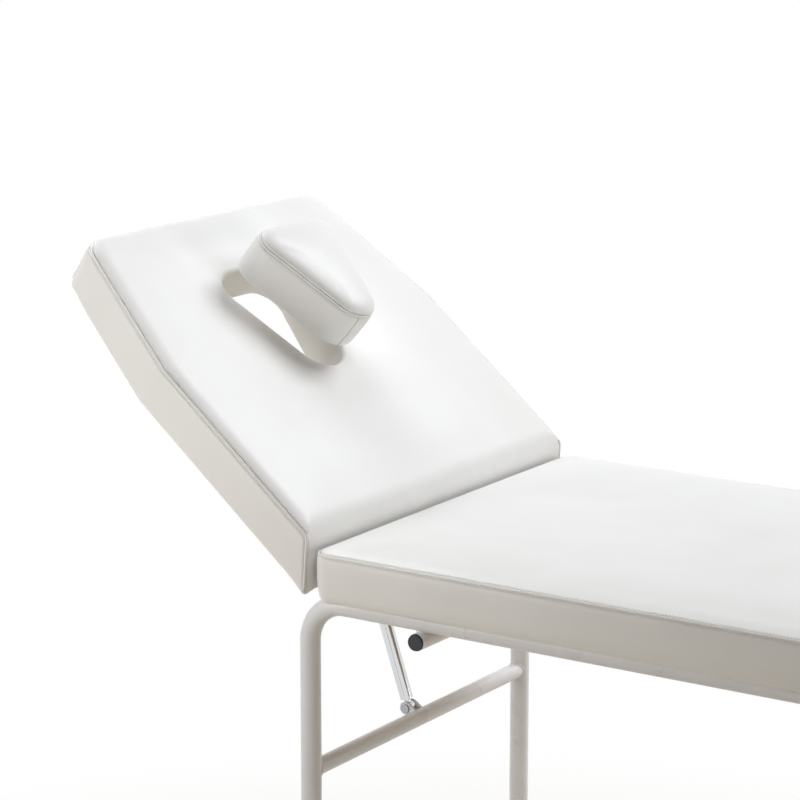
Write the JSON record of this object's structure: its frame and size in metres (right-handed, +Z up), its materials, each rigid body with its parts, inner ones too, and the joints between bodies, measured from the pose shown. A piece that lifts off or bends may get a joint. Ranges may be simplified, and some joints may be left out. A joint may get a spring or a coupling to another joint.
{
  "type": "beauty treatment bed",
  "caption": "White padded treatment bed with a raised hinged backrest, a face opening with its plug, a notched stay and a bent tube frame.",
  "frame": {"origin": "on the floor, in the middle of the bed's footprint with the backrest raised and the plug lifted out", "axes": "+X along the bed towards the foot end, +Y across the bed away from the pictured side, +Z up"},
  "size_m": [1.7356, 0.7, 1.1106],
  "materials": {
    "white_vinyl": "satin",
    "foam": "matte",
    "plywood": "matte",
    "frame_paint": "gloss",
    "stay_chrome": "polished",
    "zinc_steel": "satin",
    "ferrule_rubber": "matte",
    "black_plastic": "matte"
  },
  "bodies": {
    "base": {"side_frame_near": "frame_paint", "side_frame_far": "frame_paint", "ferrule_head_near": "ferrule_rubber", "ferrule_head_far": "ferrule_rubber", "ferrule_foot_near": "ferrule_rubber", "ferrule_foot_far": "ferrule_rubber", "stretcher_head": "frame_paint", "stretcher_foot": "frame_paint", "cross_tube_head": "frame_paint", "cross_tube_foot": "frame_paint", "cross_tube_plugs": "black_plastic", "seat_tab_near_1": "frame_paint", "seat_tab_near_2": "frame_paint", "seat_tab_near_3": "frame_paint", "seat_tab_far_1": "frame_paint", "seat_tab_far_2": "frame_paint", "seat_tab_far_3": "frame_paint", "seat_screws": "zinc_steel", "seat_board": "plywood", "seat_foam": "foam", "seat_cover": "white_vinyl", "hinge_pin_near": "frame_paint", "hinge_pin_far": "frame_paint", "hinge_sleeve_near": "black_plastic", "hinge_sleeve_far": "black_plastic", "hinge_washer_near": "zinc_steel", "hinge_washer_far": "zinc_steel", "hinge_clip_near": "zinc_steel", "hinge_clip_far": "zinc_steel", "stay_lower_clevis": "frame_paint", "stay_lower_pin": "zinc_steel", "stay_lower_clip": "zinc_steel"},
    "backrest": {"backrest_board": "plywood", "backrest_foam": "foam", "backrest_cover": "white_vinyl", "face_opening_lining": "white_vinyl", "backrest_arm_near": "frame_paint", "backrest_arm_far": "frame_paint", "backrest_arm_screws": "zinc_steel", "hinge_bush_near": "black_plastic", "hinge_bush_far": "black_plastic", "stay_upper_bracket": "frame_paint", "stay_bracket_screws": "zinc_steel", "stay_upper_pin": "zinc_steel", "stay_upper_clip": "zinc_steel"},
    "plug": {"plug_board": "plywood", "plug_foam": "foam", "plug_cover": "white_vinyl"},
    "stay_lower": {"stay_lower_eye": "stay_chrome", "stay_tube": "stay_chrome", "stay_collar": "black_plastic"},
    "stay_upper": {"stay_rod": "stay_chrome", "stay_rod_guide": "black_plastic", "stay_upper_eye": "stay_chrome"}
  },
  "joints": [
    {"name": "backrest_hinge", "type": "hinge", "parent": "base", "child": "backrest", "pos_m": [-0.39118, 0, 0.63], "axis": [0, 1, 0], "range_deg": [-40, 0]},
    {"name": "plug_lift", "type": "slide", "parent": "backrest", "child": "plug", "axis": [0.6428, 0, 0.766], "range_m": [-0.103, 0.1]},
    {"name": "stay_pivot", "type": "hinge", "parent": "base", "child": "stay_lower", "pos_m": [-0.44518, 0, 0.3859], "axis": [0, 1, 0], "range_deg": [-20, 0]},
    {"name": "stay_slide", "type": "slide", "parent": "stay_lower", "child": "stay_upper", "axis": [-0.3216, 0, 0.9469], "range_m": [-0.11446, 0]}
  ],
  "couplings": [
    {"joint": "stay_pivot", "follows": "backrest_hinge", "ratio": 0.5},
    {"joint": "stay_slide", "follows": "backrest_hinge", "m_per_rad": 0.16396}
  ]
}
